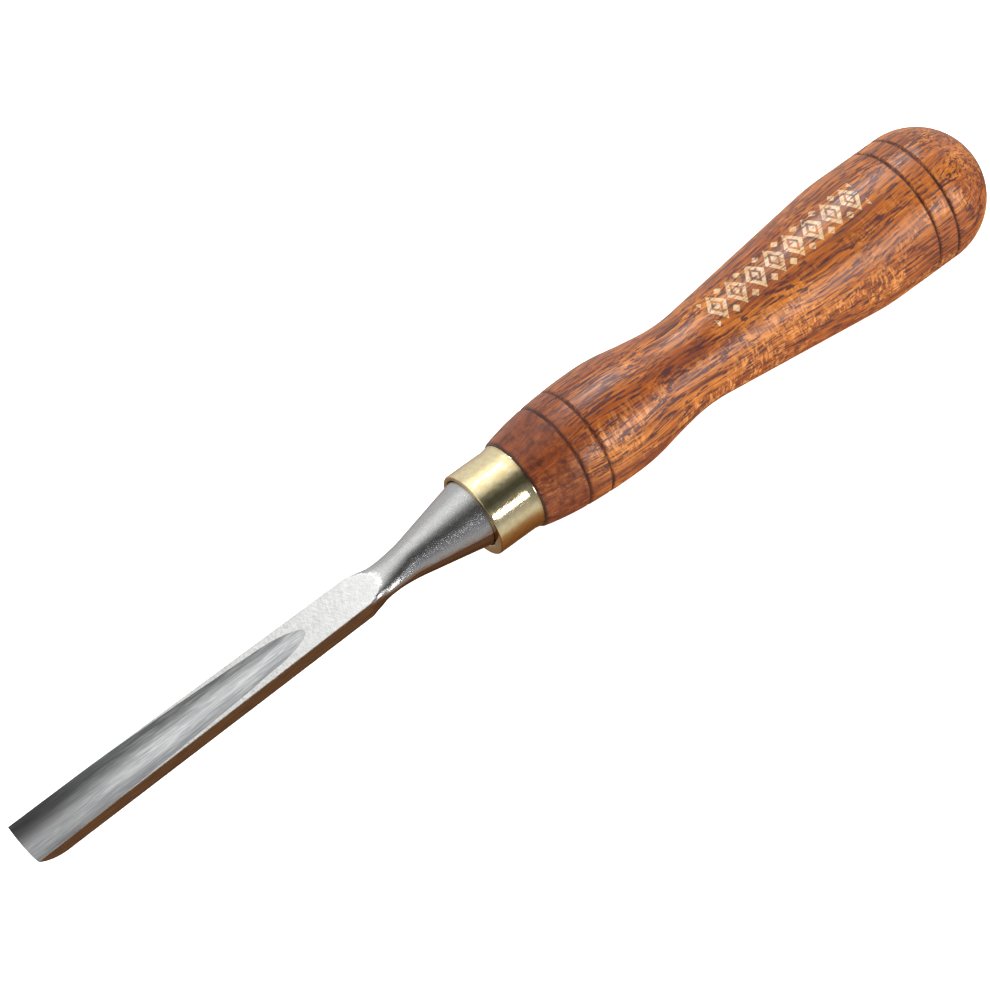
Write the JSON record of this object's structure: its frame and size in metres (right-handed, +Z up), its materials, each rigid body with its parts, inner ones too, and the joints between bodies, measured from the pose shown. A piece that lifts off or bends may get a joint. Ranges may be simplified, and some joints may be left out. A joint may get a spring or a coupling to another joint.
{
  "type": "carving gouge",
  "caption": "Straight carving gouge: fluted steel blade with a rolled bevel, cone bolster, brass ferrule and a turned hardwood handle with a domed butt.",
  "frame": {"origin": "on the handle axis, at the middle of the ferrule's length", "axes": "+X along the handle axis towards the cutting edge, +Z up out of the blade's fluted side"},
  "size_m": [0.246, 0.03, 0.03],
  "materials": {
    "blade_steel": "ground top and flute, brown unground sides, satin neck",
    "ferrule_brass": "polished",
    "handle_wood": "red-brown hardwood under gloss lacquer",
    "tang_bedding": "cured epoxy"
  },
  "bodies": {
    "root": {"blade": "blade_steel", "ferrule": "ferrule_brass", "handle": "handle_wood", "tang_adhesive": "tang_bedding"}
  },
  "joints": []
}
